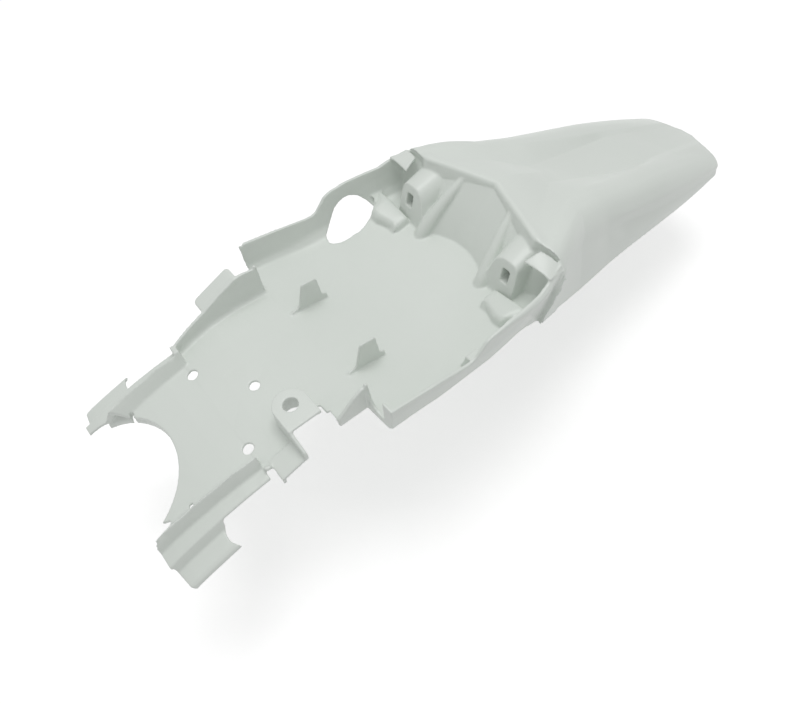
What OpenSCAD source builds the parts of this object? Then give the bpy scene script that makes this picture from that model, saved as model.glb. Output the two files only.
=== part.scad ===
// Rear fender of a small dirt bike: front floor with an arc, open tray, bowl and tail.
// Millimetres. X runs to the tail, Y to the right side of the bike, Z up.

/* [Sheet] */
// Thickness of the moulded sheet
sheet = 2.8; // [2.4:0.1:3.2]
// Thickness of the two floor fins
fin_thick = 2.2; // [1.8:0.1:2.8]

/* [Front arc] */
// Radius of the arc that clears the frame
arc_r = 57; // [53:0.5:59]
// Shift of the arc centre to the right of the centreline
arc_shift = 10; // [6:0.5:12]
// Depth of the turned-down lip along the arc
arc_lip = 10; // [8:0.5:12]

/* [Side folds] */
// Height of the crest above the floor
crest_h = 13; // [10:0.5:15]
// Outer edge of the shelf from the centreline
shelf_y = 75.5; // [74:0.5:78]
// Outer edge of the front tabs from the centreline
tab_y = 96; // [90:0.5:100]
// Drop from the shelf to the front tabs
tab_drop = 9; // [7:0.5:11]

/* [Bolt holes] */
// Diameter of the three bolt holes in the front floor
bolt_d = 9; // [7:0.5:11]
// Half the spacing of the pair of bolt holes
bolt_y = 43.8; // [40:0.2:46]
// Place of the pair of bolt holes along the length
bolt_x = 80; // [77:0.5:83]
// Place of the middle bolt hole along the length
mid_bolt_x = 113; // [108:0.5:118]
// Side of the small square holes
peg_hole = 3.6; // [3:0.2:4.4]

/* [Mounting platform] */
// Height of the platform above the floor
plat_h = 22; // [18:0.5:25]
// Diameter of the platform hole
plat_hole_d = 12; // [10:0.5:14]
// Platform hole from the centreline
plat_hole_y = 48; // [46:0.5:50]

/* [Tray] */
// Inner half width of the tray
tray_y = 105; // [103:0.5:107]
// Height of the front end of the tray walls
wall_top = 36; // [33:0.5:39]
// Depth of the hollow cut in the step walls
step_cut = 25; // [18:0.5:27]

/* [Fins] */
// Place of the fins from the centreline
fin_y = 41; // [36:0.5:46]
// Height of the fins above the floor line
fin_h = 27; // [22:0.5:30]

/* [Bosses] */
// Radius of the arched boss top
boss_r = 14; // [13:0.25:14.5]
// Centre of the boss arch from the centreline
boss_y = 60; // [59.5:0.25:61]
// Height of the centre of the boss arch
boss_z = 31; // [29:0.5:32]
// Boss slot from the centreline
slot_y = 62; // [60:0.5:63]
// Width of the boss slot
slot_w = 8; // [5:0.5:9]
// Height of the boss slot
slot_h = 13; // [9:0.5:14]

/* [Tail] */
// Depth of the turned-down band at its two ends
band_h = 14; // [12:0.5:15]
// Depth of the recessed panel of the tail
recess = 6; // [4:0.5:8]
// Rear end of the tail along the length
tail_end = 667; // [665:1:680]

/* [Hidden] */
t = sheet;
eps = 0.01;

// Height of the floor along the length
function floor_z(x) = lookup(x, [[-24, -26], [-12, -21], [0, -16], [12, -12.4], [25, -9],
    [40, -5.2], [60, -1.6], [80, 0.8], [100, 2.2], [120, 2.6], [150, 2], [170, 0.6],
    [190, -2], [215, -6.4], [240, -8.6], [265, -8.6], [290, -6], [310, -2.6], [330, 0.6],
    [360, 5]]);
// Rise of the floor towards its sides
function side_rise(y, x) = 4 * pow(abs(y) / 75, 2) * lookup(x, [[60, 0], [120, 1], [400, 1]]);

// Right-hand normal of a span, and a corner moved along both normals of its spans
function nrm(a, b) = let (d = b - a, l = norm(d)) [d[1], -d[0]] / l;
function moved(p, k, i) = let (n = len(p) - 1,
    a = i == 0 ? nrm(p[0], p[1]) : nrm(p[i - 1], p[i]),
    b = i == n ? nrm(p[n - 1], p[n]) : nrm(p[i], p[i + 1]))
    p[i] + (a + b) * k / (1 + a * b);
function beside(p, k) = [for (i = [0:len(p) - 1]) moved(p, k, i)];
// A half section made whole by mirroring it in the centreline
function whole(h) = concat([for (i = [len(h) - 1:-1:1]) [-h[i][0], h[i][1]]], h);
function placed(x, p) = [for (q = p) [x, q[0], q[1]]];

// Closed sheet between two grids of points with the same rows and columns
module skin(a, b) {
    r = len(a);
    c = len(a[0]);
    n = r * c;
    pts = concat([for (row = a) for (q = row) q], [for (row = b) for (q = row) q]);
    tops = [for (i = [0:r - 2]) for (j = [0:c - 2]) each [
        [i * c + j, (i + 1) * c + j + 1, (i + 1) * c + j],
        [i * c + j, i * c + j + 1, (i + 1) * c + j + 1]]];
    under = [for (i = [0:r - 2]) for (j = [0:c - 2]) each [
        [n + i * c + j, n + (i + 1) * c + j, n + (i + 1) * c + j + 1],
        [n + i * c + j, n + (i + 1) * c + j + 1, n + i * c + j + 1]]];
    left = [for (i = [0:r - 2]) each [
        [i * c, n + (i + 1) * c, n + i * c],
        [i * c, (i + 1) * c, n + (i + 1) * c]]];
    right = [for (i = [0:r - 2]) each [
        [i * c + c - 1, n + i * c + c - 1, n + (i + 1) * c + c - 1],
        [i * c + c - 1, n + (i + 1) * c + c - 1, (i + 1) * c + c - 1]]];
    near = [for (j = [0:c - 2]) each [
        [j, n + j, n + j + 1],
        [j, n + j + 1, j + 1]]];
    far = [for (j = [0:c - 2]) each [
        [(r - 1) * c + j, n + (r - 1) * c + j + 1, n + (r - 1) * c + j],
        [(r - 1) * c + j, (r - 1) * c + j + 1, n + (r - 1) * c + j + 1]]];
    polyhedron(points = pts, faces = concat(tops, under, left, right, near, far), convexity = 8);
}
// Flat outline in X and Z carried along Y from one side to the other
module across(y0, y1) {
    translate([0, y1, 0]) rotate([90, 0, 0]) linear_extrude(height = y1 - y0) children();
}
// Flat outline in Y and Z carried along X
module along(x0, x1) {
    translate([x0, 0, 0]) rotate([90, 0, 90]) linear_extrude(height = x1 - x0) children();
}

// Front floor with its side folds, from behind the crest ends to the front tips
join_x = 80;
arc_x = -18.5;
function foot_y(x) = 50 + 0.06 * x;
function crest_y(x) = 58.6 + 0.03 * x;
function fold(x) = let (z = floor_z(x), f = foot_y(x), c = crest_y(x)) whole([[0, z],
    [26, z], [f - 3, z], [f, z + 0.8], [c, z + crest_h],
    [c + 4, z + 0.4], [shelf_y, z - 0.6]]);
module front_floor() {
    xs = [-22, -12, 0, 12, 25, 40, 60, join_x];
    skin([for (x = xs) placed(x, fold(x))], [for (x = xs) placed(x, beside(fold(x), t))]);
}
// Turned-down lip that follows the arc
module lip() {
    as = [-66:6.6:66];
    skin([for (k = [3:-1:0]) [for (a = as) let (d = [0, 0.8, 3, 4.2][k], h = [0.9, 1.6, 4.5, arc_lip][k],
            r = arc_r + 3.3 - d, x = arc_x + r * cos(a), y = arc_shift + r * sin(a))
            [x, y, floor_z(x) - h]]],
        [for (k = [3:-1:0]) [for (a = as) let (d = [0, 0.8, 3, 4.2][k], h = [0.9, 1.6, 4.5, arc_lip][k],
            r = arc_r + 3.3 + t - d, x = arc_x + r * cos(a), y = arc_shift + r * sin(a))
            [x, y, floor_z(x) - h - (k == 3 ? 0 : 1.6)]]]);
}
// Tab outside the shelf, with its down-wall and its rounded outer edge
function tab_row(x) = let (z = floor_z(x), s = shelf_y) [[s - 3, z - 1.6], [s + 0.4, z - 2.2],
    [s + 3.2, z - tab_drop], [s + 12, z - tab_drop - 1], [tab_y - 4, z - tab_drop - 1],
    [tab_y - 1, z - tab_drop - 2.4], [tab_y, z - tab_drop - 5.5]];
module tab() {
    xs = [-12, 0, 12, 25, 40];
    difference() {
        skin([for (x = xs) placed(x, tab_row(x))], [for (x = xs) placed(x, beside(tab_row(x), t - 0.5))]);
        translate([46, shelf_y + 9.6, -60]) cylinder(r = 13.5, h = 80, $fn = 64);
        translate([0, 0, -60]) linear_extrude(height = 80)
            polygon([[-30, 70], [-9.5, shelf_y], [-7, tab_y - 3], [-4, tab_y + 0.2], [-4, 120], [-30, 120]]);
        translate([0, 0, -60]) linear_extrude(height = 80)
            polygon([[36.5, 120], [37.4, tab_y - 1.5], [38.2, 88], [60, 80], [60, 120]]);
    }
}

// Middle and main part of the open tray
tray_end = 352;
function mid_y(x) = lookup(x, [[join_x, 68], [98, 72], [116, 74.4], [142, 76], [172, 75.4]]);
function main_y(x) = lookup(x, [[172, tray_y + 0.6], [250, tray_y], [268, tray_y], [300, tray_y - 1.6],
    [320, tray_y - 4], [340, tray_y - 8], [tray_end, tray_y - 10.4]]);
function foot_in(x) = lookup(x, [[172, 11], [215, 15], [240, 19], [330, 20], [400, 19]]);
function flat_pts(z, x, w) = [for (k = [0, 0.34, 0.67, 1]) [k * w, z + side_rise(k * w, x)]];
function mid_half(x) = let (z = floor_z(x), w = mid_y(x), s = side_rise(w, x) + z) concat(
    flat_pts(z, x, w - 3.4), [[w - 0.8, s + 1.3], [w, s + 4.4], [w + 0.5, s + 18], [w + 1, 44]]);
function main_half(x) = let (z = floor_z(x), w = main_y(x), k = foot_in(x),
    s = side_rise(w - k, x) + z) concat(
    flat_pts(z, x, w - k), [[w - k * 0.38, s + k * 0.13], [w - k * 0.08, s + k * 0.5],
    [w + 0.6, s + k * 0.5 + 14], [w + 2, 70]]);
module tray() {
    mids = [join_x, 98, 116, 142, 171.6];
    mains = [172, 190, 215, 240, 252, 268, 284, 300, 320, 338, tray_end];
    inner = concat([for (x = mids) placed(x, whole(mid_half(x)))],
        [for (x = mains) placed(x, whole(main_half(x)))]);
    outer = concat([for (x = mids) placed(x > 170 ? x - t : x, beside(whole(mid_half(x)), t))],
        [for (x = mains) placed(x == 172 ? x - t : x, beside(whole(main_half(x)), t))]);
    difference() {
        skin(inner, outer);
        // Top line of the main walls
        across(-130, 130) polygon([[169 - t, 90], [169 - t, wall_top + 6], [171 - t, wall_top + 0.5],
            [172, wall_top], [214, 28.4], [240, 23], [246, 22.6], [251, 24], [262, 35], [268, 37],
            [286, 38.4], [304, 37.2], [322, 36.6], [334, 40.4],
            [346, 44], [360, 45.4], [380, 90]]);
        // Top line of the right front wall
        across(40, 90) polygon([[70, 60], [70, 10], [join_x, 12], [84, 14], [116, 22.5], [150, 36],
            [158, 36], [172 - t - 0.2, 34], [172 - t - 0.2, 60]]);
        // Top line of the left front wall, which starts behind the platform
        across(-90, -40) polygon([[70, 60], [70, 8.2], [136, 8.2], [142, 17], [158, 30], [166, 34],
            [172 - t - 0.2, 34], [172 - t - 0.2, 60]]);
        // Lower front corner of the left front wall, drawn up to the platform
        across(-90, -60) polygon([[132, -20], [132, 16], [139, 15], [143, 6], [149, 0], [158, -3.6], [160, -20]]);
        // Right main wall starts a little further back, with no upright in the step
        translate([150, 80.5, 4]) cube([27, 40, 60]);
        // Hollow cut in both step walls
        for (s = [-1, 1]) scale([1, s, 1]) along(160, 180) polygon([[mid_y(172) + 3.6, 60],
            [mid_y(172) + 3.6, wall_top - 3], [mid_y(172) + 5.5, wall_top - step_cut + 8],
            [mid_y(172) + 9, wall_top - step_cut + 2], [mid_y(172) + 14, wall_top - step_cut],
            [tray_y - 9, wall_top - step_cut], [tray_y - 7.4, wall_top - step_cut + 3],
            [tray_y - 6.6, wall_top - 4], [tray_y - 5, 60]]);
        // Side of the tray left open beside the platform
        translate([join_x + 5, -120, -30]) cube([51, 51.6, 70]);
        translate([60, -120, floor_z(100) + 4]) cube([78, 60, 60]);
    }
}
// Curved return where the right front wall meets the crest
module wall_return() {
    along(join_x - 2.3, join_x + 1.7) polygon([[55, floor_z(join_x) - 1.1],
        [crest_y(join_x) - 0.1, crest_h + 1.9], [mid_y(join_x) + 2.2, 12.6],
        [shelf_y - 0.9, 9], [shelf_y - 0.9, floor_z(join_x) - 1.3]]);
}
// Rounded outward tab on the right front wall
module wall_tab() {
    y0 = mid_y(130) + 0.8;
    intersection() {
        across(y0, y0 + 20) polygon([[112, 20.4], [150, 35.4], [158, 35.4], [158, 35.4 - t],
            [151, 35.4 - t], [112, 20.4 - t]]);
        translate([0, 0, -10]) linear_extrude(height = 60) union() {
            translate([115, y0 - 1]) square([38, 13]);
            translate([119, y0 + 5]) square([30, 12]);
            translate([119, y0 + 13]) circle(r = 4, $fn = 24);
            translate([149, y0 + 13]) circle(r = 4, $fn = 24);
            translate([115, y0 - 1]) square([38, 14]);
        }
    }
}

// Window through the right wall
module window_cut() {
    intersection() {
        across(78, 125) union() {
            polygon([[250.4, -40], [313.5, -40], [313.5, 4], [312, 9], [301, 17], [286, 23], [277, 22.4],
                [270, 18], [261, 6], [251, -1.5], [248.8, -6], [249, -14]]);
            translate([308.4, 3.6]) circle(r = 5.4, $fn = 24);
            translate([282, 16.8]) circle(r = 6.6, $fn = 24);
        }
        translate([0, 0, -60]) linear_extrude(height = 120) polygon([[240, 126], [246.6, 100], [248, 94],
            [252, 88.4], [258, 85], [266, 84], [280, 83.6], [287, 85], [296, 88.6], [306, 94],
            [312, 99], [316, 126]]);
    }
}

// Raised platform on the left, hollow beneath
plat_x0 = 107;
plat_x1 = 136;
plat_y1 = 67.4;
module plat_plan(d) {
    r = (plat_x1 - plat_x0) / 2;
    union() {
        translate([(plat_x0 + plat_x1) / 2, -plat_hole_y]) circle(r = r - d, $fn = 48);
        translate([plat_x0 + d, -plat_y1 + d]) square([2 * r - 2 * d, plat_y1 - plat_hole_y - d + eps]);
    }
}
module platform() {
    z0 = floor_z(120);
    translate([0, 0, z0 - t + 0.3]) linear_extrude(height = plat_h + t - 0.3) plat_plan(0);
    translate([0, 0, z0 + plat_h - 1.2]) linear_extrude(height = 1.2) plat_plan(0);
    // Cross plate and lug outside the platform
    along(plat_x0, plat_x0 + t) polygon([[-plat_y1 + 2, z0], [-plat_y1 - 6, z0 - 1],
        [-plat_y1 - 17, z0 + 4], [-plat_y1 - 18, z0 + 11], [-plat_y1 - 16.6, z0 + 14],
        [-plat_y1 + 2, z0 + plat_h - 0.4]]);
    across(-plat_y1 - 16.4, -plat_y1 + 3) polygon([[86, z0 - 2.2], [plat_x0 + 1, z0 + 3.4],
        [plat_x0 + 1, z0 + 3.4 + t], [86, z0 - 2.2 + t]]);
    across(-plat_y1 - 16.4, -shelf_y + 2) polygon([[86, z0 - 6.4], [88.6, z0 - 6.4], [88.6, z0], [86, z0]]);
}
module platform_cut() {
    z0 = floor_z(120);
    translate([0, 0, z0 - 12]) linear_extrude(height = plat_h + 12 - t) {
        plat_plan(t);
        translate([plat_x0 + t, -90]) square([plat_x1 - plat_x0 - 2 * t, 40]);
    }
    // Underside of the platform's flanks drawn up towards the open side
    across(-100, -50) polygon([[plat_x0 + 8, -20], [plat_x0 + 8, plat_h - 1], [plat_x1 + 6, plat_h - 1],
        [plat_x1 + 6, -20]]);
    translate([(plat_x0 + plat_x1) / 2, -plat_hole_y, -20]) cylinder(d = plat_hole_d, h = 80, $fn = 64);
}

// Stepped fins on the tray floor
module fins() {
    z = floor_z(190);
    for (s = [-1, 1]) translate([0, s * fin_y - fin_thick / 2, 0]) across(0, fin_thick)
        polygon([[174, z - 1], [174, z + 3.4], [177, z + 5], [182.6, z + 6], [184.6, z + 8.6],
            [190.6, fin_h - 1], [192.6, fin_h], [204, fin_h - 1.6], [205.6, fin_h - 3], [207.6, 4.4],
            [209.4, 2.6], [212, 1.6], [212.4, -8], [200, -6], [190, -4]]);
}

// Arched bosses with their slanted inner flanks, hollow from below
boss_x0 = 324;
boss_x1 = 348;
boss_foot = 22;
module boss_plan(d) {
    r = boss_r - d;
    polygon(concat([[boss_y - boss_foot + 1.4 * d, -8], [boss_y - boss_r - 2 + d, boss_z - 9]],
        [for (a = [180:-9:81]) [boss_y + r * cos(a), boss_z + r * sin(a)]],
        [[boss_y + r - 2.4, boss_z + boss_r - 2 - d], [boss_y + r, boss_z + boss_r - 4.6 - d],
        [boss_y + r, -8]]));
}
module boss() { along(boss_x0, boss_x1) boss_plan(0); }
module boss_cut() {
    along(boss_x0 + t, boss_x1 - 3) boss_plan(t);
    along(boss_x0 + t, boss_x1 - 3) polygon([[boss_y - boss_foot + 2 * t, -30], [boss_y - boss_foot + 2 * t, -6],
        [boss_y + boss_r - t, -6], [boss_y + boss_r - t, -30]]);
    translate([boss_x0 - 5, slot_y - slot_w / 2, 21.6 - slot_h / 2]) cube([12, slot_w, slot_h]);
}
// Rib that leans from the foot of the boss to the wall of the bowl
rib_line = [[315, 40, -3], [319, 39.4, 4], [326, 37.6, 13], [335, 35.2, 23.6], [345, 32.6, 34], [352, 30.6, 41]];
module rib() {
    skin([[for (p = rib_line) p - [0, 1.3, 0]],
            [for (p = rib_line) [p[0] + 14 - p[2] * 0.28, p[1] - 0.6, p[2] - 6]]],
        [[for (p = rib_line) p + [0, 1.3, 0]],
            [for (p = rib_line) [p[0] + 14 - p[2] * 0.28, p[1] + 3, p[2] - 6]]]);
}
// Low blocks in front of the bosses, with a leaning front
block_y = 57.6;
module blocks() {
    difference() {
        along(296, 318) polygon([[block_y + 3.4, -8], [block_y + 0.4, 2], [block_y + 1, 4.8], [block_y + 3, 6.4],
            [block_y + 24, 10], [102, 13], [102, 4], [92, -4]]);
        across(50, 104) polygon([[290, -20], [296.4, -8], [304, 6.6], [309, 16], [309, 40], [290, 40]]);
    }
}
module blocks_cut() {
    difference() {
        along(303, 318 - t) polygon([[block_y + 3.4 + t, -30], [block_y + 3.4 + t, 1.4], [block_y + 24, 10 - t],
            [95, 9], [95, 2], [90, -4], [90, -30]]);
        across(50, 104) polygon([[290, -40], [303, -8], [308, 2.2], [309, 40], [290, 40]]);
    }
}
// Small step block inside the left wall
module step_block() {
    scale([1, -1, 1]) along(249, 262) polygon([[90, -6], [95.4, 8], [97.6, 17], [104.6, 17.6],
        [tray_y + 1.2, 10], [tray_y - 2, 0]]);
}

// Front lip of the hood: pointed in the middle, with a band turned down below it
function lip_x(y) = 370 - 0.3013 * min(abs(y), 67.7);
function lip_z(y) = 56 - 0.00039 * pow(min(abs(y), 67.7), 2);
function band_d(y) = band_h * lookup(abs(y), [[0, 0.43], [20, 0.62], [34, 0.82], [50, 1], [100, 1]]);
function band_lean(y) = 0.27 * band_d(y);
module band() {
    ys = [-71, -66, -50, -34, -20, 0, 20, 34, 50, 66, 71];
    skin([for (k = [1, 0.5, 0]) [for (y = ys) [lip_x(y) + 0.3 - k * band_lean(y), y, lip_z(y) - 1.4 - k * (band_d(y) - 1.4)]]],
        [for (k = [1, 0.5, 0]) [for (y = ys) [lip_x(y) + t + 1.9 - k * band_lean(y), y,
            lip_z(y) - 3.8 - k * (band_d(y) - 1.4)]]]);
}

// Leaning wall at the back of the tray, up to the hood behind the band
bowl_ys = [-100, -92, -84, -75, -66, -58, -50, -42, -34, -26, -17, -9, 0, 9, 17, 26, 34, 42, 50, 58, 66, 75, 84, 92, 100];
function bowl_foot(y) = lookup(abs(y), [[0, 332], [9, 331.6], [17, 329.6], [26, 326.6], [34, 323], [42, 324], [52, 327],
    [66, 330], [84, 334], [100, 338]]);
function bowl_head(y) = abs(y) < 67 ? lip_x(y) + 6 : 349.6;
function head_z(y) = abs(y) < 67 ? lip_z(y) - 3.6 : lookup(abs(y), [[67, 43], [84, 44.6], [100, 40]]);
module bowl() {
    rows = [0, 0.2, 0.4, 0.6, 0.8, 1];
    skin([for (k = rows) [for (y = bowl_ys) let (x0 = bowl_foot(y), x1 = bowl_head(y))
            [x0 + (x1 - x0) * pow(k, 0.86), y, -3 + (head_z(y) + 3) * k]]],
        [for (k = rows) [for (y = bowl_ys) let (x0 = bowl_foot(y), x1 = bowl_head(y))
            [x0 + (x1 - x0) * pow(k, 0.86) + t, y, -3.6 + (head_z(y) + 3) * k]]]);
}
// Small roof over each rear corner of the tray, between the wall and the hood
module corner_roof() {
    skin([[[330.6, 74.4, 45.4], [331.4, 84, 45], [333.7, 100.6, 43.6]], [[348, 72, 49.6], [351, 84, 47.6], [353, 97.6, 44.6]]],
        [[[330.6, 74.4, 45.4 - t], [331.4, 84, 45 - t], [333.7, 100.6, 43.6 - t]],
            [[348, 72, 49.6 - t], [351, 84, 47.6 - t], [353, 97.6, 44.6 - t]]]);
}

// Tail: collar behind the lip, recessed centre panel, rounded shoulders and skirts.
// Each line runs from the lip to the rear: inner line, crest, shoulder, lower crease, skirt foot
lip_row = [[370, 0, 56], [349.6, 67.7, 54.2], [350.4, 77, 51.8], [351.6, 88, 48.6], [352, 96, 31], [330, 103, -7]];
collar_row = [[428, 0, 31.4], [423.6, 14.6, 32.2], [414.6, 43, 37.8], [406, 68, 39.4], [394, 82.4, 18.4],
    [390, 91, -23.6]];
// Each row: place, centre height, recess share, inner line y, crest y and z, shoulder y and z,
// lower crease y and z, skirt foot y and z
rows_tail = [
    [444, 29.6, 1, 17, 40.6, 30.2, 63.5, 25.2, 73.7, -1.6, 81.4, -35.4],
    [475, 17.4, 1, 21, 38.2, 18.4, 62.2, 14.4, 72.6, -13, 77.4, -41],
    [515, 3, 0.9, 25, 35, 4, 60.4, 0.8, 70.4, -26, 73, -48.6],
    [542, -6.4, 0.62, 26.6, 32.8, -5.4, 58.8, -8.2, 68.6, -33.6, 70.2, -53],
    [558, -12, 0.3, 25, 31.6, -11.2, 57.6, -14, 67.4, -38, 68.6, -55.6],
    [600, -27.4, 0.16, 21.4, 28.2, -26.8, 54.2, -30.4, 62.6, -49, 63.6, -62],
    [641, -43, 0.08, 18, 24.8, -42.4, 49.6, -47.3, 56.2, -60.5, 56.9, -68.6],
    [690, -62, 0, 14, 21, -61.4, 42, -67.4, 46.6, -77, 46.8, -82]];
function tail_row(r) = let (d = recess * r[2], x = r[0]) [[x, 0, r[1] - d], [x, r[3], r[1] - d + 0.3],
    [x, r[4], r[5]], [x, r[6], r[7]], [x, r[8], r[9]], [x, r[10], r[11]]];
// Rounded edge of the lip and crown of the hood: share of the way to the collar's end, and drop
edge_rows = [[0, 1.7], [0.035, 0.6], [0.09, -0.2], [0.25, -1.7], [0.5, -2.9], [0.75, -2.1], [0.985, -0.2]];
tail_rows = concat([for (e = edge_rows) [for (i = [0:5]) (1 - e[0]) * lip_row[i] + e[0] * collar_row[i]
    - [0, 0, i < 4 ? e[1] : 0]]], [collar_row], [for (r = rows_tail) tail_row(r)]);
// Lower edge of the scooped facet under the crease, as a share of its full depth
function scoop(x) = lookup(x, [[444, 0], [462, 1], [475, 0.9], [515, 0.5], [558, 0.12], [600, 0]]);
// Points across one half: the shoulder is a curve through its middle point
function bent(a, m, b, u) = let (c = 2 * m - (a + b) / 2) pow(1 - u, 2) * a + 2 * u * (1 - u) * c + u * u * b;
function tail_half(r) = let (a = r[2], m = r[3] + [0, 1, -1.2], l = r[4], f = r[5], s = scoop(l[0])) [
    r[0], (2 * r[0] + r[1]) / 3, (r[0] + 2 * r[1]) / 3, r[1],
    r[1] + 1.8 * (a - r[1]) / norm(a - r[1]), a - 1.4 * (a - r[1]) / norm(a - r[1]), a,
    bent(a, m, l, 0.14), bent(a, m, l, 0.3), bent(a, m, l, 0.46), bent(a, m, l, 0.62), bent(a, m, l, 0.8),
    l + s * [0, -2.6, 2.4], l + (f - l) * (0.06 + s * 0.34) + [0, 0.3, 0], l + (f - l) * 0.6 + [0, 0.8, 0], f];
function flat(p) = [for (q = p) [q[1], q[2]]];
function under(p) = let (n = beside(flat(p), t)) [for (i = [0:len(p) - 1]) [p[i][0], n[i][0], n[i][1]]];
function whole3(h) = concat([for (i = [len(h) - 1:-1:1]) [h[i][0], -h[i][1], h[i][2]]], h);
module tail() {
    difference() {
        skin([for (r = tail_rows) whole3(tail_half(r))], [for (r = tail_rows) under(whole3(tail_half(r)))]);
        // Rear edge with clipped corners
        translate([0, 0, -150]) linear_extrude(height = 200) polygon([[720, -120], [720, 120], [640, 120],
            [650, 56], [654, 46], [tail_end - 10, 25], [tail_end - 3, 12], [tail_end, 7], [tail_end, -7],
            [tail_end - 3, -12], [tail_end - 10, -25], [654, -46], [650, -56], [640, -120]]);
    }
}

module body() {
    front_floor();
    lip();
    tray();
    wall_return();
    wall_tab();
    step_block();
    platform();
    fins();
    bowl();
    tail();
    band();
    for (s = [-1, 1]) scale([1, s, 1]) { tab(); boss(); rib(); blocks(); corner_roof(); }
}
// The middle bolt hole, at half the thickness of the floor, is the origin of the part
module rear_fender() {
    color("white") translate([-mid_bolt_x, 0, t / 2 - floor_z(mid_bolt_x)]) difference() {
        body();
        // Arc that clears the frame
        translate([arc_x, arc_shift, -80]) cylinder(r = arc_r, h = 90, $fn = 128);
        translate([-40, -130, -80]) cube([28.5, 260, 90]);
        translate([0, 0, -80]) linear_extrude(height = 90) polygon([[-30, -40], [-6, -40], [7, -48], [-2, -55],
            [-11.5, -60], [-11.5, -64], [-30, -64]]);
        // Bolt holes and small square holes
        for (s = [-1, 1]) {
            translate([bolt_x, s * bolt_y, -20]) cylinder(d = bolt_d, h = 40, $fn = 48);
            translate([24 - peg_hole / 2, s * (foot_y(24) - 1) - peg_hole / 2, -30]) cube([peg_hole, peg_hole, 40]);
        }
        translate([mid_bolt_x, 0, -20]) cylinder(d = bolt_d, h = 40, $fn = 48);
        platform_cut();
        window_cut();
        for (s = [-1, 1]) scale([1, s, 1]) { boss_cut(); blocks_cut(); }
    }
}

rear_fender();
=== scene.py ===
import bpy
import numpy as np
from mathutils import Matrix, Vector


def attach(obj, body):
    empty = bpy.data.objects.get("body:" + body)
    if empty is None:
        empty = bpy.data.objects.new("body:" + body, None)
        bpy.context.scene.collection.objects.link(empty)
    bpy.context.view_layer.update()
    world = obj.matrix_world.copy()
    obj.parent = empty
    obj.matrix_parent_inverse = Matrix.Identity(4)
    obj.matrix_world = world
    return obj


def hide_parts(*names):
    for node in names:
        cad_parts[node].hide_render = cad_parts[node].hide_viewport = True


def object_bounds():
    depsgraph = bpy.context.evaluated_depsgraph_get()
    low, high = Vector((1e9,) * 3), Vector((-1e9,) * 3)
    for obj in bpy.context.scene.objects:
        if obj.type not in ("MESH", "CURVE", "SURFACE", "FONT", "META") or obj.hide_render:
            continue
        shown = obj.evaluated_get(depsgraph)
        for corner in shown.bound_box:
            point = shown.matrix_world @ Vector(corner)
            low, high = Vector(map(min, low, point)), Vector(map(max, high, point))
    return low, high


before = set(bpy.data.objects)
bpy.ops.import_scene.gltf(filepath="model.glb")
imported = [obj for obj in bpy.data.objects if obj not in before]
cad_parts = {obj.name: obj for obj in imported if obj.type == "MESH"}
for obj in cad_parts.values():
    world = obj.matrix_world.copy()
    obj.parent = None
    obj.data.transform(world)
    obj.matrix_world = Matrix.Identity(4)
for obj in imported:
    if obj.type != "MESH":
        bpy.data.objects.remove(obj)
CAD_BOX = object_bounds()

scene = bpy.context.scene
scene.view_settings.view_transform = "Standard"


class Socket:
    """A node socket that takes part in Python arithmetic: each operator adds one Math node."""

    def __init__(self, tree, link):
        self.tree, self.link = tree, link

    def _math(self, operation, first, second=None):
        values = {0: first} if second is None else {0: first, 1: second}
        return self.tree.node("ShaderNodeMath", {"operation": operation}, values)

    def __add__(self, other):
        return self._math("ADD", self, other)

    def __radd__(self, other):
        return self._math("ADD", other, self)

    def __mul__(self, other):
        return self._math("MULTIPLY", self, other)

    def __rmul__(self, other):
        return self._math("MULTIPLY", other, self)


class Material:
    """A material whose nodes come from one method and whose maths is written with Socket."""

    def __init__(self, name):
        self.data = bpy.data.materials.new(name)
        self.data.use_nodes = True
        self.nodes = self.data.node_tree.nodes
        self.links = self.data.node_tree.links
        self.shader = self.nodes["Principled BSDF"]

    def node(self, kind, settings=None, values=None, out=0):
        """Add a node, make its settings, then fill or link its sockets, and return one output."""
        made = self.nodes.new(kind)
        for name, value in (settings or {}).items():
            setattr(made, name, value)
        for name, value in (values or {}).items():
            self.feed(made.inputs[name], value)
        return Socket(self, made.outputs[out])

    def feed(self, place, value):
        if isinstance(value, Socket):
            self.links.new(value.link, place)
        else:
            place.default_value = value

    def finish(self, **values):
        for name, value in values.items():
            self.feed(self.shader.inputs[name.replace("_", " ")], value)
        return self.data


def moulded_white():
    """White moulded plastic: a faint cloud in its tone, and a fine ripple and grain in its gloss."""
    m = Material("moulded_white")
    place = m.node("ShaderNodeTexCoord", out=3)
    cloud = m.node("ShaderNodeTexNoise", {}, {"Vector": place, "Scale": 9.0, "Detail": 3.0})
    grain = m.node("ShaderNodeTexNoise", {}, {"Vector": place, "Scale": 900.0, "Detail": 2.0})
    ripple = m.node("ShaderNodeTexNoise", {}, {"Vector": place, "Scale": 38.0, "Detail": 2.0})
    colour = m.node("ShaderNodeMix", {"data_type": "RGBA"}, {
        0: cloud, 6: (0.70, 0.745, 0.70, 1), 7: (0.75, 0.79, 0.75, 1)}, out=2)
    height = ripple * 0.8 + grain * 0.06
    bump = m.node("ShaderNodeBump", {}, {"Strength": 0.12, "Distance": 0.0006, "Height": height})
    return m.finish(Base_Color=colour, Roughness=0.3 + 0.08 * grain, Normal=bump)


# Metres: the even grid of the finished skin, how near points weld, and how far the skin stays in the box
VOXEL = 0.0009
WELD = 0.00002
BOX_INSET = 0.00002
# Pairs of smoothing passes, each pair one that rounds and one that gives the width back
SMOOTHING = (0.5, -0.52, 0.5, -0.52)
SMOOTH_ROUNDS = 2
KEPT_SHARE = 0.17

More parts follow.
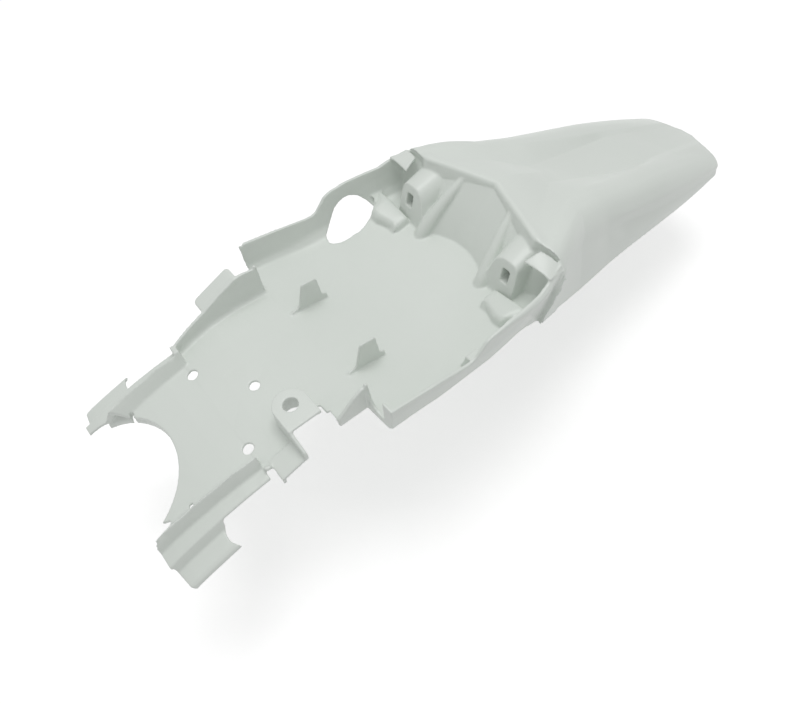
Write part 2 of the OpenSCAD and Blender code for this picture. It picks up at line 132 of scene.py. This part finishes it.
# Measures in millimetres as the part's source counts them; the frame starts at the middle bolt hole
FRAME_START = np.array([113, 0, 1.06])
HOOD_FROM = 353.0
SHEET, BAND_SHEET, LINER_SHEET = 2.8, 4.4, 1.6
HOOD_PITCH, TRAY_PITCH, BOSS_PITCH, SMALL_PITCH = 1.4, 2.0, 1.2, 1.0

FLOOR_LINE = ([150, 170, 190, 215, 240, 265, 290, 310, 330, 352, 360],
              [2, 0.6, -2, -6.4, -8.6, -8.6, -6, -2.6, 0.6, 4, 5])
TRAY_WIDTH = ([150, 172, 250, 268, 300, 320, 340, 352], [106, 105.6, 105, 105, 103.4, 101, 97, 94.6])
TRAY_CORNER = ([150, 172, 215, 240, 330, 400], [9, 11, 15, 19, 20, 19])
WALL_TOP = ([150, 172, 214, 240, 246, 251, 262, 268, 286, 304, 322, 334, 346, 360],
            [38, 36, 28.4, 23, 22.6, 24, 35, 37, 38.4, 37.2, 36.6, 40.4, 44, 45.4])
BAND_DEPTH = ([0, 20, 34, 50, 100], [6.0, 8.7, 11.5, 14, 14])
BOWL_FOOT = ([0, 9, 17, 26, 34, 42, 52, 66, 84, 100],
             [332, 331.6, 329.6, 326.6, 323, 324, 327, 330, 334, 338])

# Hood lines from the lip to the rear: centre, inner line, crest, shoulder, lower crease, skirt foot
LIP = np.array([[370, 0, 56], [349.6, 67.7, 54.2], [350.4, 77, 51.8], [352.4, 92, 48.2], [353.8, 99.8, 31],
                [326, 104.2, -1]], float)
COLLAR = np.array([[428, 0, 31.4], [423.6, 14.6, 32.2], [414.6, 43, 37.8], [406, 68, 39.4], [394, 82.4, 18.4],
                   [390, 91, -23.6]], float)
CROWN = [[0.12, -0.4], [0.25, -1.7], [0.5, -2.9], [0.75, -2.1], [0.985, -0.2]]
TAIL = np.array([
    [444, 29.6, 1, 17, 40.6, 30.2, 63.5, 25.2, 73.7, -1.6, 81.4, -35.4],
    [475, 17.4, 1, 21, 38.2, 18.4, 62.2, 14.4, 72.6, -13, 77.4, -41],
    [515, 3, 0.9, 25, 35, 4, 60.4, 0.8, 70.4, -26, 73, -48.6],
    [542, -6.4, 0.62, 26.6, 32.8, -5.4, 58.8, -8.2, 68.6, -33.6, 70.2, -53],
    [558, -12, 0.3, 25, 31.6, -11.2, 57.6, -14, 67.4, -38, 68.6, -55.6],
    [600, -27.4, 0.16, 21.4, 28.2, -26.8, 54.2, -30.4, 62.6, -49, 63.6, -62],
    [641, -43, 0.08, 18, 24.8, -42.4, 49.6, -47.3, 56.2, -60.5, 56.9, -68.6],
    [690, -62, 0, 14, 21, -61.4, 42, -67.4, 46.6, -77, 46.8, -82]], float)
RECESS = 6.0
LIP_CORNER = 72
REAR_EDGE = ([0, 7, 12, 25, 46, 56, 120], [667, 667, 664, 657, 654, 650, 640])


def along(line, at):
    """A measure read off a line of stations, straight between them."""
    return np.interp(at, *line)


def smooth(knots, values, at):
    """Smooth curve through values at knots: cubic pieces, with the harmonic mean of the two chords' slopes at
    each knot, or no slope where the chords turn back."""
    knots, values, at = np.asarray(knots, float), np.asarray(values, float), np.asarray(at, float)
    tall = [-1] + [1] * (values.ndim - 1)
    step = np.diff(knots).reshape(tall)
    chord = np.diff(values, axis=0) / step
    first, second = chord[:-1], chord[1:]
    near, far = 2 * step[1:] + step[:-1], step[1:] + 2 * step[:-1]
    with np.errstate(divide="ignore", invalid="ignore"):
        mean = (near + far) / (near / first + far / second)
    slope = np.concatenate([chord[:1], np.where(first * second > 0, mean, 0), chord[-1:]])
    i = np.clip(np.searchsorted(knots, at, "right") - 1, 0, len(knots) - 2)
    u = ((at - knots[i]) / np.diff(knots)[i]).reshape(tall)
    return ((1 + 2 * u) * (1 - u) ** 2 * values[i] + u * (1 - u) ** 2 * step[i] * slope[i]
            + u * u * (3 - 2 * u) * values[i + 1] - u * u * (1 - u) * step[i] * slope[i + 1])


def refined(grid, pitch):
    """The same surface with points about one pitch apart: smooth curves through the rows, then through the
    columns."""
    for turn in (0, 1):
        grid = np.swapaxes(grid, 0, turn)
        gaps = np.linalg.norm(np.diff(grid, axis=0), axis=2).mean(axis=1)
        knots = np.concatenate([[0], np.cumsum(gaps)])
        counts = np.maximum(1, np.rint(gaps / pitch)).astype(int)
        inner = np.concatenate([k + g * np.arange(n) / n for k, g, n in zip(knots, gaps, counts)])
        grid = np.swapaxes(smooth(knots, grid, np.append(inner, knots[-1])), 0, turn)
    return grid


def mesh_piece(name, points, faces):
    """Object at the origin from points in millimetres and a list of faces."""
    mesh = bpy.data.meshes.new(name)
    mesh.from_pydata(((points - FRAME_START) / 1000).tolist(), [], faces)
    mesh.validate()
    piece = bpy.data.objects.new(name, mesh)
    scene.collection.objects.link(piece)
    return piece


def quads(index):
    """Four-sided faces between neighbouring points of a grid of indices."""
    return np.stack([index[:-1, :-1], index[1:, :-1], index[1:, 1:], index[:-1, 1:]], axis=2).reshape(-1, 4)


def normals(grid):
    """Unit normal at each point of a grid: the cross product of its two directions."""
    normal = np.cross(np.gradient(grid, axis=0), np.gradient(grid, axis=1))
    return normal / np.linalg.norm(normal, axis=2, keepdims=True)


def closed_sheet(name, top, thick):
    """Closed sheet: the top grid, the same grid moved down its own normals by the thickness, and a rim
    between them."""
    rows, columns = top.shape[:2]
    count = rows * columns
    low = top - thick * normals(top)
    index = np.arange(count).reshape(rows, columns)
    upper = quads(index)
    lower = upper[:, ::-1] + count
    ring = np.concatenate([index[0, :-1], index[:-1, -1], index[-1, :0:-1], index[:0:-1, 0]])
    after = np.roll(ring, -1)
    rim = np.stack([ring, after, after + count, ring + count], axis=1)
    return mesh_piece(name, np.concatenate([top.reshape(-1, 3), low.reshape(-1, 3)]),
                      np.concatenate([upper, lower, rim]).tolist())


def prism(name, outline, axis, low, high):
    """Closed prism: a flat outline carried along one axis from low to high."""
    outline = np.asarray(outline, float)
    n = len(outline)
    ends = np.repeat([low, high], n)
    points = np.insert(np.tile(outline, (2, 1)), axis, ends, axis=1)
    ring = np.arange(n)
    after = np.roll(ring, -1)
    sides = np.stack([ring, after, after + n, ring + n], axis=1)
    return mesh_piece(name, points, sides.tolist() + [ring[::-1].tolist(), (ring + n).tolist()])


def lip_place(y):
    """Front edge of the hood: two straight lines that meet in a point on the centreline."""
    y = np.minimum(np.abs(y), 67.7)
    return 370 - 0.3013 * y, 56 - 0.00039 * y * y


def mirrored(half):
    """A half grid made whole by mirroring it in the centreline, which it starts on."""
    return np.concatenate([half[:, :0:-1] * [1, -1, 1], half], axis=1)


def across_half(line):
    """Section through the tail from its six lines: the panel, the step up to the crest, the shoulder as a
    curve through its middle point, and the skirt with its scooped facet."""
    centre, inner, crest, middle, crease, foot = line
    middle = middle + [0, 1, -1.2]
    rise = (crest - inner) / np.linalg.norm(crest - inner)
    scoop = np.interp(crease[0], [444, 462, 475, 515, 558, 600], [0, 1, 0.9, 0.5, 0.12, 0])
    u = np.array([0.14, 0.3, 0.46, 0.62, 0.8])[:, None]
    shoulder = (1 - u) ** 2 * crest + 2 * u * (1 - u) * (2 * middle - (crest + crease) / 2) + u * u * crease
    panel = centre + np.array([0, 0.06, 0.33, 0.67, 1])[:, None] * (inner - centre)
    skirt = [crease + scoop * np.array([0, -2.6, 2.4]),
             crease + (foot - crease) * (0.06 + scoop * 0.34) + [0, 0.3, 0],
             crease + (foot - crease) * 0.6 + [0, 0.8, 0], foot]
    return np.concatenate([panel, [inner + 1.8 * rise, crest - 1.4 * rise, crest], shoulder, skirt])


def tail_lines(row):
    """The six lines of the tail at one station, from its list of heights and half widths."""
    x, z, share, y1, y2, z2, y3, z3, y4, z4, y5, z5 = row
    low = z - RECESS * share
    return np.array([[x, 0, low], [x, y1, low + 0.3], [x, y2, z2], [x, y3, z3], [x, y4, z4], [x, y5, z5]])


def hood_grid():
    """Top of the hood and tail: smooth curves through the stations. It starts under the rounded lip, where
    the band begins, and its last row lies on the rear outline."""
    sink = np.array([1, 1, 1, 1, 0, 0])[:, None] * [0, 0, 1]
    lines = [(1 - e) * LIP + e * COLLAR - drop * sink for e, drop in CROWN] + [COLLAR]
    tail = [tail_lines(row) for row in TAIL]
    after = [COLLAR + share * (tail[0] - COLLAR) for share in (0.07, 0.5)]
    rows = [across_half(line) for line in lines + after + tail]
    top, lip = rows[0], across_half(LIP)
    # Rounded lip: a curve from the front of the band over the edge
    y = lip[:, 1]
    x, z = lip_place(y)
    point, inside = np.stack([x + 0.3, y, z], axis=1), y[:, None] < LIP_CORNER
    turn = np.interp(y, [0, 66, 76], [5, 5, 1.4])[:, None]
    front = np.where(inside, point, lip) - turn * [0.27, 0, 1]
    edge = np.where(inside, point + [0, 0, 0.1], lip + [-0.4, 0, 0])
    lead = [(1 - u) ** 2 * front + 2 * u * (1 - u) * edge + u * u * top for u in (0, 0.2, 0.4, 0.6, 0.8)]
    # Last row on the rear outline
    before, beyond = rows[-2], rows[-1]
    share = np.zeros((len(before), 1))
    for _ in range(3):
        share = (along(REAR_EDGE, (before + share * (beyond - before))[:, 1])[:, None] - before[:, :1]) \
            / (beyond - before)[:, :1]
    rows[-1] = before + share * (beyond - before)
    return refined(mirrored(np.stack(lead + rows)), HOOD_PITCH)


def band_grid():
    """Band turned down from the lip: it hangs from the lip's line and leans forward as it goes down, and
    past the lip's corner it runs on as a short end wall behind the corner roof."""
    y = np.linspace(-99, 99, 199)
    k = np.linspace(1, 0, 12)[:, None]
    x, z = lip_place(y)
    wide = np.abs(y)
    z = np.where(wide > 67.7, np.interp(wide, [67.7, 77, 89.4, 99], [54.2, 51.8, 47.6, 37.6]), z)
    head = np.interp(wide, [66, 70], [4, 1.6])
    low = np.where(wide > 66, np.interp(wide, [66, 74, 90, 99], [13.8, 12, 11, 12]),
                   smooth(*BAND_DEPTH, wide))
    fall = head + k * (low - head)
    lean = np.interp(wide, [68, 73], [0.27, 0.02])
    back = np.interp(wide, [70, 88, 99], [0, 1.8, 2.6])
    return np.stack([x + 0.3 + back - lean * fall, y + 0 * k, z - fall], axis=2)


def bowl_grid():
    """Leaning wall at the back of the tray: from the foot line to the hood, steeper towards the top."""
    y = np.linspace(-100, 100, 201)
    k = np.linspace(0, 1, 60)[:, None]
    wide = np.abs(y)
    x, z = lip_place(y)
    foot = smooth(*BOWL_FOOT, wide)
    inside = np.clip((LIP_CORNER - wide) / 7, 0, 1)
    depth = smooth(*BAND_DEPTH, wide)
    head = inside * (x + 2.8 - 0.27 * depth) + (1 - inside) * 349.8
    head_z = inside * (z - depth + 2) + (1 - inside) * np.interp(wide, [67, 84, 100], [43, 43, 38])
    return np.stack([foot + (head - foot) * k ** 1.2, y + 0 * k, -3 + (head_z + 3) * k], axis=2)


def boss_grid(side):
    """Hollow boss: one outline in the leaning front face blends into a taller one at the wall of the bowl."""
    front = np.array([[38.5, -6], [41.5, 8], [44.5, 20], [47, 28], [51, 33.6], [57, 36.4], [64, 36.8],
                      [70, 35.4], [72.8, 31.6], [74, 22], [74.6, -6]])
    rear = np.array([[36, -6], [38.5, 12], [41, 26], [43.6, 35.6], [48, 41], [54, 44], [61, 45], [67.5, 44.6],
                     [72, 42.4], [74.6, 36], [75.4, -6]])
    k = np.array([0, 0.12, 0.5, 1.0])[:, None, None]
    outline = (1 - k) * front + k * rear
    x0 = 317.4 + (outline[..., 1] + 6) * 0.245
    x = x0 + k[..., 0] * (354 - x0)
    grid = np.stack([x, outline[..., 0], outline[..., 1]], axis=2)
    return refined(grid, BOSS_PITCH) * [1, side, 1]


def boss(side):
    """Boss as a closed solid: the loft above, with flat ends in front, behind and beneath."""
    grid = boss_grid(side)
    # Each end is closed towards the middle of its foot
    foot = (grid[:, :1] + grid[:, -1:]) / 2
    wings = [foot + (grid - foot) * s for s in (1, 0.66, 0.33, 0.02)]
    front = np.stack([w[0] for w in wings[:0:-1]])
    rear = np.stack([w[-1] for w in wings[1:]])
    whole = np.concatenate([front, grid, rear])
    # The line along the foot closes the loft from below
    whole = np.concatenate([whole, (whole[:, -1:] + whole[:, :1]) / 2], axis=1)
    rows, columns = whole.shape[:2]
    index = np.arange(rows * columns).reshape(rows, columns)
    around = np.concatenate([index, index[:, :1]], axis=1)
    turned = slice(None, None, side)
    faces = quads(around)[:, turned].tolist() + [around[0, :-1][turned].tolist(),
                                                 around[-1, :-1][::-1][turned].tolist()]
    slot = prism("slot", [[58, 15.1], [66, 15.1], [66, 28.1], [58, 28.1]], 0, 300, 343)
    slot.data.transform(Matrix.Diagonal((1, side, 1, 1)))
    if side < 0:
        slot.data.flip_normals()
    return cut(mesh_piece("boss", whole.reshape(-1, 3), faces), [slot])


def rib_grid(side):
    """Rounded rib from the foot of the boss up the wall of the bowl: a half round carried along its line,
    thinning to its top."""
    line = np.array([[316, 40.4, -5], [320.6, 39.8, 3], [328.2, 38, 12.4], [338, 35.6, 23], [347.6, 33, 33],
                     [352.4, 31.8, 37.6], [358, 30.6, 42.4], [362, 29.6, 46.4]])
    radius = np.array([4.0, 3.9, 3.6, 3.1, 2.3, 1.7, 1.0, 0.6])
    u = np.linspace(0, 1, 60)
    knots = np.linspace(0, 1, len(line))
    line, radius = smooth(knots, line, u), smooth(knots, radius, u)[:, None, None]
    ahead = np.gradient(line, axis=0)
    ahead /= np.linalg.norm(ahead, axis=1, keepdims=True)
    across = np.cross(ahead, [-0.74, 0, 0.67])
    across /= np.linalg.norm(across, axis=1, keepdims=True)
    out = np.cross(across, ahead)
    a = np.linspace(-0.62, 0.62, 15)[None, :, None] * np.pi
    deep = 1 + 2.2 * (np.abs(a) > 1.5)
    grid = line[:, None] + radius * (np.sin(a) * across[:, None] + (np.cos(a) - 0.2) * deep * out[:, None])
    return grid * [1, side, 1]


def rim_grid(side):
    """Broad rounded top of the wall's rear part: outward from the wall's inner edge, over, and down. It
    widens towards the hood."""
    x = np.linspace(256, 351.5, 96)
    wide, top = smooth(*TRAY_WIDTH, x) + 0.9, along(WALL_TOP, x)
    reach = np.interp(x, [256, 268, 300, 332, 344, 352], [2.4, 2.8, 4.2, 5.4, 3.8, 2.4])
    drop = np.interp(x, [256, 300, 340, 352], [0, 0.3, 1.6, 3.4])
    steps = [(0, -3.2), (0, -1.2), (0.5, -0.3), (1.4, 0), (-1.8, -0.1), (-0.6, -0.8), (0, -2.2), (-0.2, -7)]
    shape = [np.stack([x, wide + (i > 3) * reach + a, top - (i > 3) * drop + b], axis=1)
             for i, (a, b) in enumerate(steps)]
    return refined(np.stack(shape, axis=1), SMALL_PITCH) * [1, side, 1]


def roof_grid(side):
    """Roof over the rear corner of the tray: straight lines from its bowed front edge to its rear edge."""
    front = np.array([[331.6, 74.4, 44.2], [332.2, 80, 44.6], [333, 87, 44.6], [333.6, 94, 44.2],
                      [334, 101, 43]])
    rear = np.array([[346.2, 78.4, 49], [348, 84, 47.8], [349.4, 90, 46.2], [350.4, 96, 43.2],
                     [351, 100, 38.6]])
    k = np.linspace(0, 1, 5)[:, None, None]
    grid = (1 - k) * front + k * rear + np.sin(np.pi * k) * [0, 0, 0.6]
    return refined(grid, SMALL_PITCH) * [1, side, 1]


def cheek_grid(side):
    """Small cheek that carries the outside of the wall down to the skirt's foot."""
    x = np.linspace(315, 355, 41)
    wide, high = smooth(*TRAY_WIDTH, x), along(WALL_TOP, x)
    top = np.stack([x, wide + np.interp(x, [315, 334, 346, 355], [4.4, 5.4, 3.2, 1.0]), high - 7], axis=1)
    low = np.stack([x, np.interp(x, [315, 326, 334, 355], [100.2, 100.6, 99.4, 94]),
                    np.interp(x, [315, 326, 334, 344, 355], [-1, -2, 2, 10, 20])], axis=1)
    k = np.linspace(0, 1, 20)[:, None, None]
    return ((1 - k) * top + k * low).swapaxes(0, 1) * [1, side, 1]


def block_grid(side):
    """Low block in front of a boss: from its inner end to the wall its front steps forward and its back
    rises, and each section runs up the front, over the rounded top and down the back."""
    y = np.array([56.6, 57.2, 58.4, 61, 72, 80, 86, 91, 96, 100.0])
    far = y - 57
    ease = np.array([0.25, 0.7, 0.93, 1, 1, 1, 1, 1, 1, 1])
    # Near the side window the front turns back, and the foot follows the rounded corner of the tray
    foot = np.array([303, 303, 302.6, 301.6, 298, 295.4, 295.4, 302.4, 309.6, 313.6])
    tip, rear = foot + np.interp(far, [0, 30, 43], [3.4, 4.6, 2.0]), 318.2 + 0 * far
    base = np.interp(y, [80, 86, 91, 96, 100], [-6, -2.4, 1.4, 3.6, 7])
    low, high = -6 + ease * (11.6 + 0.17 * far.clip(0, 30)), -6 + ease * (13.4 + 0.2 * far.clip(0, 30))
    shape = [(foot + 3 * (1 - ease), base), (foot + 0.4 * (tip - foot), low - 3.4), (tip, low),
             (tip + 1.2, low + 0.6), (rear - 2.0, high), (rear, high - 1.4), (rear, base)]
    grid = refined(np.stack([np.stack([a, y, b], axis=1) for a, b in shape], axis=1), SMALL_PITCH)
    return grid[:, ::-1] * [1, side, 1]


def both_sides(name, grid_of, thick):
    """The same sheet on the right and, mirrored with its columns turned round, on the left."""
    return [closed_sheet(name, grid_of(1), thick), closed_sheet(name, grid_of(-1)[:, ::-1], thick)]


def tray_grid():
    """Inside of the main tray: a flat floor that rises a little to its sides, a rounded corner, and a wall
    up to the top line. Each section is a smooth curve through its points, at stations along the length."""
    x = np.linspace(172.4, 345, 48)
    spread = np.arange(-30, 31)
    weight = np.exp(-0.5 * (spread / 11) ** 2)
    near = smooth(*FLOOR_LINE, (x[:, None] + spread).clip(150, 360).ravel()).reshape(len(x), -1)
    floor = near @ weight / weight.sum()
    wide = smooth(*TRAY_WIDTH, x)
    k = along(TRAY_CORNER, x)
    lean = 4 * np.interp(x, [60, 120, 400], [0, 1, 1]) / 75 ** 2
    side = floor + lean * (wide - k) ** 2
    top = along(WALL_TOP, x) - 1.2
    flat = [[s * (wide - k), floor + lean * (s * (wide - k)) ** 2] for s in (0, 0.34, 0.67, 1)]
    base = side + k * 0.5 + 14
    low = np.minimum(base, (side + k * 0.5 + top) / 2)
    wall = [[wide - k * 0.38, side + k * 0.13], [wide - k * 0.08, side + k * 0.5],
            [wide + 0.6 - (base - low) * 0.03, low], [wide + 0.6 + (top - base) * 0.03, top]]
    half = np.stack([np.stack([x, y, z], axis=1) for y, z in flat + wall], axis=1)
    grid = refined(mirrored(half), TRAY_PITCH)
    # The liner stands a hair inside the solid's flat facets, and meets them at its edges
    u, v = (np.linspace(-1, 1, n) for n in grid.shape[:2])
    ease = (1 - u ** 20)[:, None] * (1 - np.abs(v) ** 12)
    height = np.interp(np.abs(grid[..., 1]), [60, 84, 98, 106], [0.2, 0.5, 0.55, 0.3])
    return grid + normals(grid) * (ease * (height + 0.15) - 0.15)[..., None]


def settled(piece):
    """The piece with its modifiers made permanent."""
    graph = bpy.context.evaluated_depsgraph_get()
    old = piece.data
    piece.data = bpy.data.meshes.new_from_object(piece.evaluated_get(graph))
    piece.modifiers.clear()
    bpy.data.meshes.remove(old)
    return piece


def cut(piece, others, operation="DIFFERENCE"):
    """The piece less other solids, or what it shares with them. The others are used up."""
    for other in others:
        step = piece.modifiers.new("cut", "BOOLEAN")
        step.object, step.operation, step.solver = other, operation, "EXACT"
    settled(piece)
    for other in others:
        bpy.data.objects.remove(other)
    return piece


def joined(name, pieces):
    """One mesh of several, as whole arrays."""
    points, faces, sizes, start = [], [], [], 0
    for piece in pieces:
        data = piece.data
        co = np.empty(len(data.vertices) * 3, "f")
        data.vertices.foreach_get("co", co)
        corner = np.empty(len(data.loops), "i")
        data.loops.foreach_get("vertex_index", corner)
        total = np.empty(len(data.polygons), "i")
        data.polygons.foreach_get("loop_total", total)
        points.append(co.reshape(-1, 3))
        faces.append(corner + start)
        sizes.append(total)
        start += len(data.vertices)
        bpy.data.objects.remove(piece)
    points, faces, sizes = np.concatenate(points), np.concatenate(faces), np.concatenate(sizes)
    mesh = bpy.data.meshes.new(name)
    mesh.vertices.add(len(points))
    mesh.vertices.foreach_set("co", points.ravel())
    mesh.loops.add(len(faces))
    mesh.loops.foreach_set("vertex_index", faces)
    mesh.polygons.add(len(sizes))
    mesh.polygons.foreach_set("loop_start", np.concatenate([[0], np.cumsum(sizes)[:-1]]).astype("i"))
    mesh.update(calc_edges=True)
    mesh.validate()
    whole = bpy.data.objects.new(name, mesh)
    scene.collection.objects.link(whole)
    return whole


def front_body():
    """The fender's solid up to the hood: a welded copy, less all that the smooth hood replaces."""
    body = bpy.data.objects.new("front_body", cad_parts["rear_fender"].data.copy())
    scene.collection.objects.link(body)
    weld = body.modifiers.new("weld", "WELD")
    weld.merge_threshold = WELD
    spans = (("rear_block", HOOD_FROM, 700, 130, -120), ("roof_block", 330, 360, 130, 40),
             ("bowl_block", 319, 360, 74.6, 4.4))
    blocks = [prism(name, [[near, -half], [far, -half], [far, half], [near, half]], 2, low, 90)
              for name, near, far, half, low in spans]
    return cut(body, blocks)


def tray_liner():
    """Thin smooth liner of the main tray, with the side window cut through it."""
    liner = closed_sheet("tray_liner", tray_grid(), LINER_SHEET)
    side = prism("window_side", [[250.4, -40], [313.5, -40], [313.5, -12], [309.4, -2.5], [303, 9],
                                 [296, 17.6], [289, 22.4], [282, 23.6], [276, 22], [270, 18], [261, 6],
                                 [251, -1.5], [248.8, -6], [249, -14]], 1, 78, 125)
    plan = prism("window_plan", [[240, 126], [246.6, 100], [248, 94], [252, 88.4], [258, 85], [266, 84],
                                 [280, 83.6], [287, 85], [296, 88.6], [306, 94], [312, 99], [316, 126]],
                 2, -60, 60)
    return cut(liner, [cut(side, [plan], "INTERSECT")])


def fender_shell():
    """The fender as one mesh: the front body, the liner, the bowl, the band and the hood are rebuilt as one
    skin on a fine even grid, and smoothed so that all edges round as on a moulding."""
    pieces = [front_body(), tray_liner(), closed_sheet("bowl", bowl_grid(), SHEET),
              closed_sheet("band", band_grid(), BAND_SHEET), closed_sheet("hood", hood_grid(), SHEET),
              boss(1), boss(-1)]
    for name, grid_of, thick in (("rib", rib_grid, 2.6), ("rim", rim_grid, 2.0), ("roof", roof_grid, 2.6),
                                 ("cheek", cheek_grid, 3.4), ("block", block_grid, 3.4)):
        pieces += both_sides(name, grid_of, thick)
    shell = joined("fender_shell", pieces)
    grid = shell.modifiers.new("grid", "REMESH")
    grid.mode = "VOXEL"
    grid.voxel_size = VOXEL
    for factor in SMOOTHING:
        soften = shell.modifiers.new("soften", "SMOOTH")
        soften.factor, soften.iterations = factor, SMOOTH_ROUNDS
    thin = shell.modifiers.new("thin", "DECIMATE")
    thin.ratio = KEPT_SHARE
    settled(shell)
    shell.data.shade_smooth()
    return shell


def kept_within(piece, box):
    """Points that smoothing moved a hair past the solid's box go back to it."""
    points = np.empty(len(piece.data.vertices) * 3, "f")
    piece.data.vertices.foreach_get("co", points)
    points = points.reshape(-1, 3).clip(np.array(box[0]) + BOX_INSET, np.array(box[1]) - BOX_INSET)
    piece.data.vertices.foreach_set("co", points.ravel())
    piece.data.update()


shell = fender_shell()
kept_within(shell, CAD_BOX)
shell.data.materials.clear()
shell.data.materials.append(moulded_white())
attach(shell, "root")
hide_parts("rear_fender")

# Camera at the angle of the photograph: right, down and forward directions and the place
RIGHT = (0.77776716, -0.6240141, -0.07539663)
DOWN = (-0.54664566, -0.61232356, -0.57117282)
FORWARD = (0.31025276, 0.4854547, -0.81735975)
PLACE = (-0.06272, -0.31811, 0.44879)
FOCAL_PIXELS = 680
IMAGE_WIDTH = 801
lens = bpy.data.cameras.new("camera")
lens.sensor_fit = "HORIZONTAL"
lens.sensor_width = 36
lens.lens = FOCAL_PIXELS * lens.sensor_width / IMAGE_WIDTH
lens.clip_end = 50
camera = bpy.data.objects.new("camera", lens)
scene.collection.objects.link(camera)
turn = np.array([RIGHT, [-d for d in DOWN], [-f for f in FORWARD]]).T
camera.matrix_world = Matrix.Translation(PLACE) @ Matrix(turn.tolist()).to_4x4()
scene.camera = camera

# Pale floor below the fender, in metres, and a world that is white to the camera
FLOOR_GAP, FLOOR_HALF = 0.10, 6.0
FLOOR_WHITE = 0.45
WHITE = 1.0


def floor_material():
    """Pale floor: diffuse, with a share of plain white for camera and glossy rays, so that a soft shadow
    stays."""
    m = Material("pale_floor")
    seen = m.node("ShaderNodeLightPath")
    glossy = m.node("ShaderNodeLightPath", out=3)
    m.finish(Base_Color=(0.8, 0.8, 0.8, 1), Roughness=0.9)
    m.shader.inputs["Specular IOR Level"].default_value = 0
    m.feed(m.shader.inputs["Emission Strength"], (seen + glossy) * FLOOR_WHITE)
    m.shader.inputs["Emission Color"].default_value = (1, 1, 1, 1)
    return m.data


floor_mesh = bpy.data.meshes.new("floor")
corners = np.array([[-1, -1, 0], [1, -1, 0], [1, 1, 0], [-1, 1, 0]]) * FLOOR_HALF
corners[:, 2] = CAD_BOX[0][2] - FLOOR_GAP
floor_mesh.from_pydata(corners.tolist(), [], [[0, 1, 2, 3]])
floor_mesh.materials.append(floor_material())
floor = bpy.data.objects.new("floor", floor_mesh)
scene.collection.objects.link(floor)


def studio_world(strength):
    """Plain light from all round, seen as white by the camera."""
    world = bpy.data.worlds.new("studio")
    world.use_nodes = True
    scene.world = world
    nodes, links = world.node_tree.nodes, world.node_tree.links
    path = nodes.new("ShaderNodeLightPath")
    mix = nodes.new("ShaderNodeMix")
    mix.inputs[2].default_value, mix.inputs[3].default_value = strength, WHITE
    links.new(path.outputs["Is Camera Ray"], mix.inputs[0])
    back = nodes["Background"]
    back.inputs["Color"].default_value = (1, 1, 1, 1)
    links.new(mix.outputs[0], back.inputs["Strength"])


def softbox(name, place, aim, size, power):
    """Square area lamp at a place, turned to a point."""
    lamp = bpy.data.lights.new(name, "AREA")
    lamp.shape, lamp.size, lamp.size_y = "RECTANGLE", size[0], size[1]
    lamp.energy = power
    holder = bpy.data.objects.new(name, lamp)
    scene.collection.objects.link(holder)
    back = (np.array(place, float) - np.array(aim, float))
    back /= np.linalg.norm(back)
    side = np.cross((0, 0, 1), back)
    side /= np.linalg.norm(side)
    turned = np.array([side, np.cross(back, side), back]).T
    holder.matrix_world = Matrix.Translation(place) @ Matrix(turned.tolist()).to_4x4()


studio_world(0.54)
softbox("high_softbox", (0.3, 0.14, 1.75), (0.2, 0, 0), (1.0, 0.9), 11.5)
